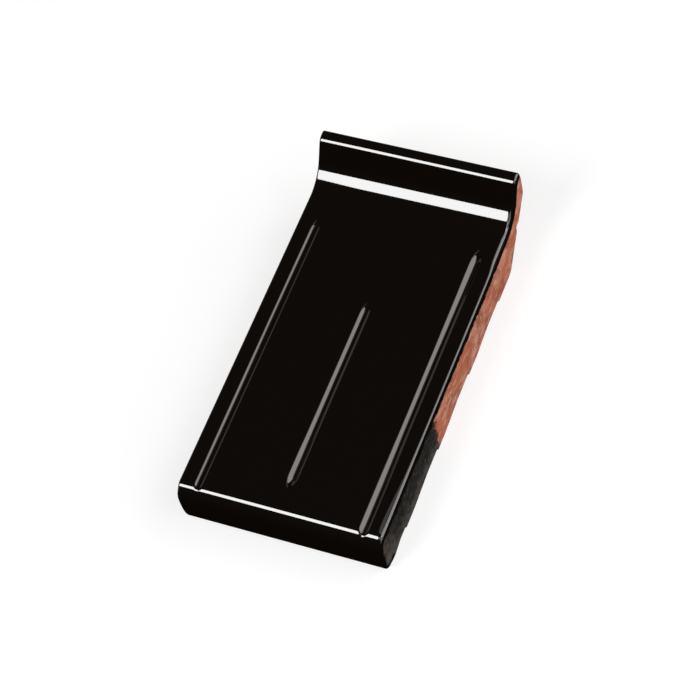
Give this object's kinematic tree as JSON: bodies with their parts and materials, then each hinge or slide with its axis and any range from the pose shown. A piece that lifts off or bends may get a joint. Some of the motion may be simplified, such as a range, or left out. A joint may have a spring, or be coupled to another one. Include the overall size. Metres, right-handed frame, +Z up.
{
  "type": "clinker drip tile",
  "caption": "Glazed clay sill tile: flat plate with a coved upstand behind, drip grooves on top, a rounded front edge and a keyed underside.",
  "frame": {"origin": "middle of the footprint, on the plane of the underside", "axes": "+Y from the front edge back to the upstand, +X along the width, +Z up"},
  "size_m": [0.105, 0.205, 0.048],
  "materials": {
    "glazed_clay": "high gloss"
  },
  "bodies": {
    "root": {"drip_tile": "glazed_clay"}
  },
  "joints": []
}
